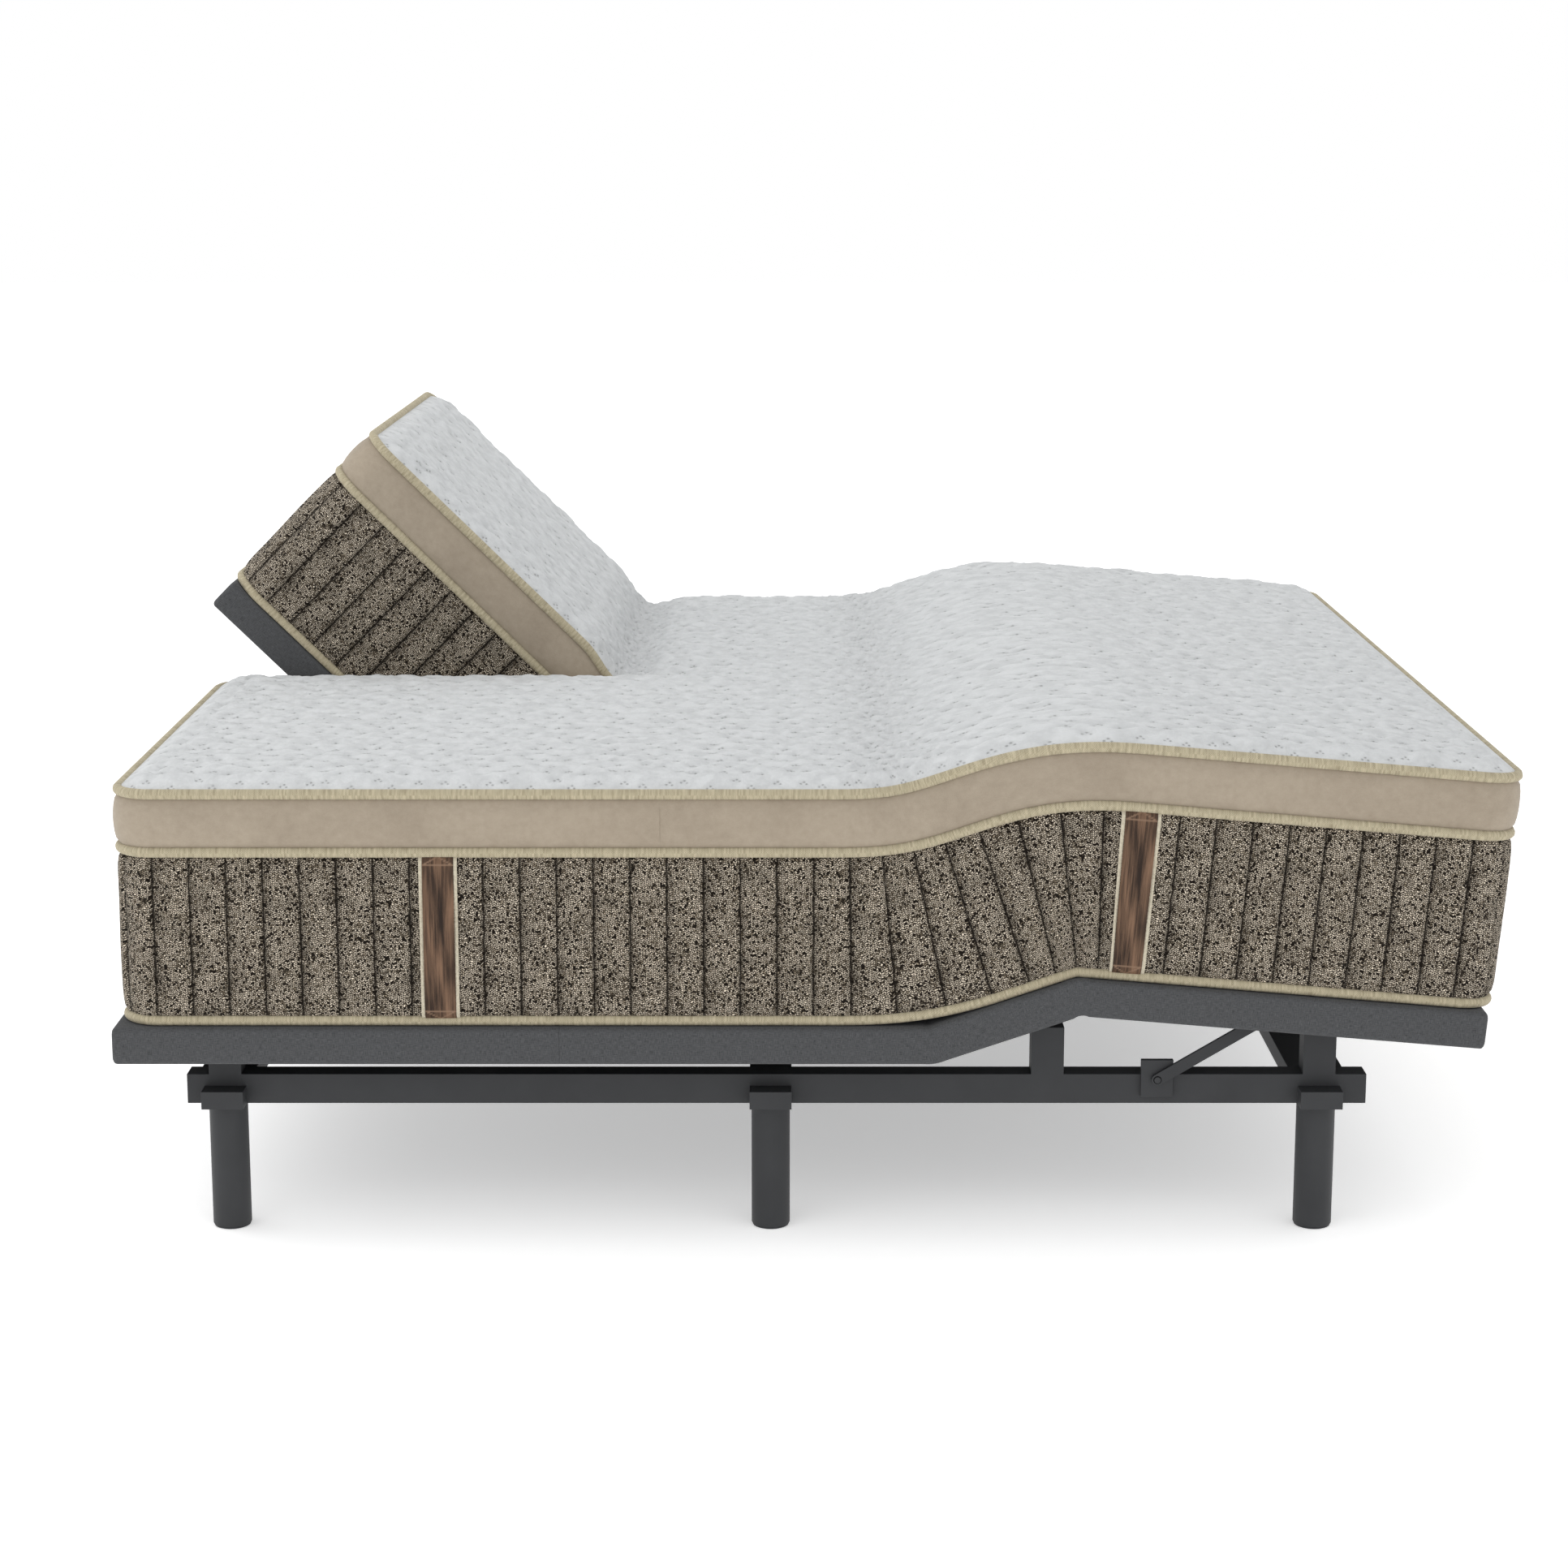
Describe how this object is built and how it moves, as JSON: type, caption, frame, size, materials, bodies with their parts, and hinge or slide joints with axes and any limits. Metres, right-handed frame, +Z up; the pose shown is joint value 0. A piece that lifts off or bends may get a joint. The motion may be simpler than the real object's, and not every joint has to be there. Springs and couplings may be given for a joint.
{
  "type": "adjustable bed base",
  "caption": "Split-head adjustable bed base with fabric deck panels, steel underframe, actuators and a quilted split-top mattress.",
  "frame": {"origin": "middle of the resting box, on the floor", "axes": "+X from the head end to the foot end, +Y from the near side to the far side, +Z up"},
  "size_m": [2.0608, 1.93, 1.106],
  "materials": {
    "mattress_fabric": "matte",
    "deck_linen": "matte",
    "bright_steel": "satin",
    "nylon": "matte",
    "black_plastic": "matte",
    "powder_coat": "satin"
  },
  "bodies": {
    "base": {"actuator_mount_far": "powder_coat", "actuator_mount_near": "powder_coat", "control_box": "black_plastic", "crossbeam_foot": "powder_coat", "crossbeam_head": "powder_coat", "crossbeam_middle": "powder_coat", "glide_bearer_far_inner": "powder_coat", "glide_bearer_far_outer": "powder_coat", "glide_bearer_near_inner": "powder_coat", "glide_bearer_near_outer": "powder_coat", "glide_shoe_far_inner": "nylon", "glide_shoe_far_outer": "nylon", "glide_shoe_near_inner": "nylon", "glide_shoe_near_outer": "nylon", "head_actuator_far_motor": "black_plastic", "head_actuator_far_tube": "black_plastic", "head_actuator_near_motor": "black_plastic", "head_actuator_near_tube": "black_plastic", "hip_hinge_rod": "bright_steel", "knee_hanger": "powder_coat", "leg_far_foot": "powder_coat", "leg_far_head": "powder_coat", "leg_far_middle": "powder_coat", "leg_near_foot": "powder_coat", "leg_near_head": "powder_coat", "leg_near_middle": "powder_coat", "mattress_head_fold_far": "mattress_fabric", "mattress_head_fold_near": "mattress_fabric", "mattress_hip_fold": "mattress_fabric", "mattress_seat": "mattress_fabric", "seat_deck": "deck_linen", "side_rail_far": "powder_coat", "side_rail_near": "powder_coat"},
    "head_far": {"drive_yoke_far": "powder_coat", "glide_rail_far_inner": "powder_coat", "glide_rail_far_outer": "powder_coat", "head_deck_far": "deck_linen", "mattress_head_far": "mattress_fabric"},
    "head_near": {"drive_yoke_near": "powder_coat", "glide_rail_near_inner": "powder_coat", "glide_rail_near_outer": "powder_coat", "head_deck_near": "deck_linen", "mattress_head_near": "mattress_fabric"},
    "foot": {"foot_deck": "deck_linen", "foot_lug_far": "powder_coat", "foot_lug_near": "powder_coat", "mattress_foot": "mattress_fabric"},
    "link_far": {"foot_link_far": "powder_coat"},
    "link_near": {"foot_link_near": "powder_coat"},
    "rod_far": {"head_actuator_far_rod": "bright_steel"},
    "rod_near": {"head_actuator_near_rod": "bright_steel"},
    "knee_actuator": {"knee_actuator_motor": "black_plastic", "knee_actuator_tube": "black_plastic"},
    "knee_rod": {"knee_actuator_rod": "bright_steel"},
    "thigh": {"knee_hinge_rod": "bright_steel", "knee_lever": "powder_coat", "mattress_knee_fold": "mattress_fabric", "mattress_thigh": "mattress_fabric", "thigh_deck": "deck_linen"}
  },
  "joints": [
    {"name": "head_near_lift", "type": "hinge", "parent": "base", "child": "head_near", "pos_m": [-0.36878, 0, 0.555], "axis": [0, 1, 0], "range_deg": [0, 60], "deforming": ["mattress_head_fold_near"]},
    {"name": "head_far_lift", "type": "hinge", "parent": "base", "child": "head_far", "pos_m": [-0.36878, 0, 0.555], "axis": [0, 1, 0], "range_deg": [-44.6, 15.4], "deforming": ["mattress_head_fold_far"]},
    {"name": "thigh_lift", "type": "hinge", "parent": "base", "child": "thigh", "pos_m": [0.17522, 0, 0.3228], "axis": [0, -1, 0], "range_deg": [-18.8, 16.2], "deforming": ["mattress_hip_fold"]},
    {"name": "foot_fold", "type": "hinge", "parent": "thigh", "child": "foot", "pos_m": [0.39011, 0, 0.39595], "axis": [0, 1, 0], "range_deg": [-23.6, 20.35], "deforming": ["mattress_knee_fold"]},
    {"name": "head_near_stroke", "type": "slide", "parent": "base", "child": "rod_near", "axis": [-1, 0, 0], "range_m": [0, 0.2951]},
    {"name": "head_far_stroke", "type": "slide", "parent": "base", "child": "rod_far", "axis": [-1, 0, 0], "range_m": [-0.21938, 0.07582]},
    {"name": "link_near_swing", "type": "hinge", "parent": "base", "child": "link_near", "pos_m": [0.51622, 0, 0.236], "axis": [0, -1, 0], "range_deg": [-14.1, 12.1]},
    {"name": "link_far_swing", "type": "hinge", "parent": "base", "child": "link_far", "pos_m": [0.51622, 0, 0.236], "axis": [0, -1, 0], "range_deg": [-14.1, 12.1]},
    {"name": "knee_actuator_swing", "type": "hinge", "parent": "base", "child": "knee_actuator", "pos_m": [-0.23878, 0, 0.184], "axis": [0, -1, 0], "range_deg": [-1.5, 1.3]},
    {"name": "knee_stroke", "type": "slide", "parent": "knee_actuator", "child": "knee_rod", "axis": [0.9995, 0, 0.0303], "range_m": [-0.04125, 0.03556]}
  ],
  "couplings": [
    {"joint": "head_near_stroke", "follows": "head_near_lift", "m_per_rad": 0.2817},
    {"joint": "head_far_stroke", "follows": "head_far_lift", "m_per_rad": 0.2817},
    {"joint": "foot_fold", "follows": "thigh_lift", "ratio": 1.2543},
    {"joint": "link_near_swing", "follows": "thigh_lift", "ratio": 0.745},
    {"joint": "link_far_swing", "follows": "thigh_lift", "ratio": 0.745},
    {"joint": "knee_actuator_swing", "follows": "thigh_lift", "ratio": 0.075511},
    {"joint": "knee_stroke", "follows": "thigh_lift", "m_per_rad": 0.12542}
  ]
}
